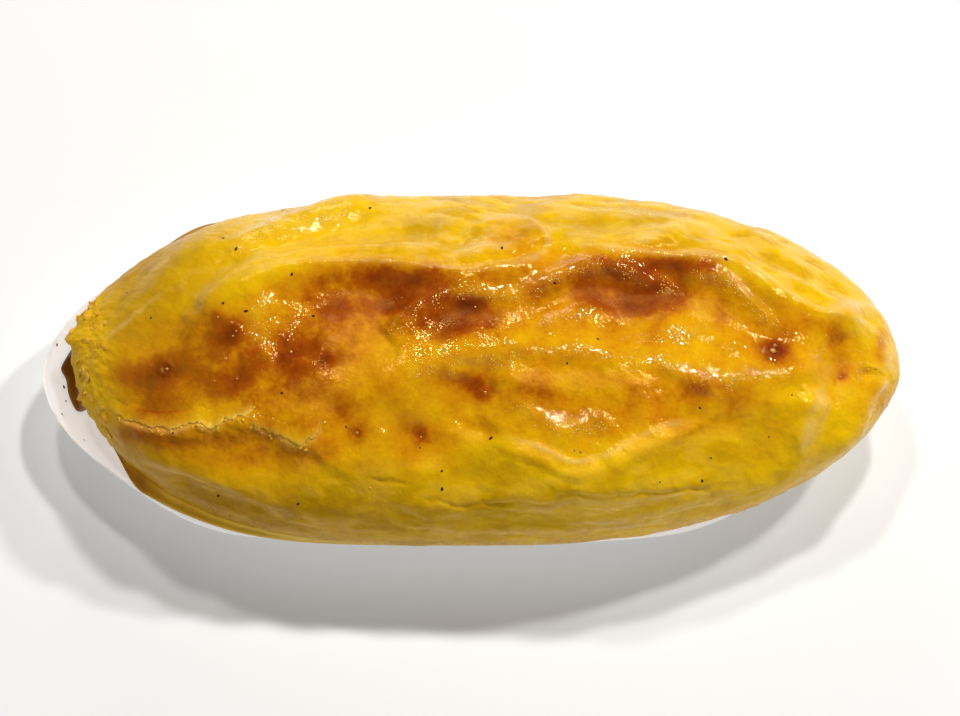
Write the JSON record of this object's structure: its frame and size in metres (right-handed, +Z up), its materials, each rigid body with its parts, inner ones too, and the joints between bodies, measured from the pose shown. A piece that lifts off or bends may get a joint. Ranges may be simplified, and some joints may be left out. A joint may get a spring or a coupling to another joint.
{
  "type": "sweet potato pastry",
  "caption": "Oblong baked sweet potato pastry, a glazed and browned mound of mash with folded crust, resting in a thin oval boat-shaped paper case.",
  "frame": {"origin": "middle of the whole object's footprint, on the case's underside", "axes": "+X along the pastry's length towards the end that overhangs the case, +Y towards its far side, +Z up"},
  "size_m": [0.1116, 0.0486, 0.029],
  "materials": {
    "baked_mash": "egg-washed, satin to glossy",
    "coated_paper": "smooth coated"
  },
  "bodies": {
    "root": {"boat_case": "coated_paper", "pastry": "baked_mash"}
  },
  "joints": []
}
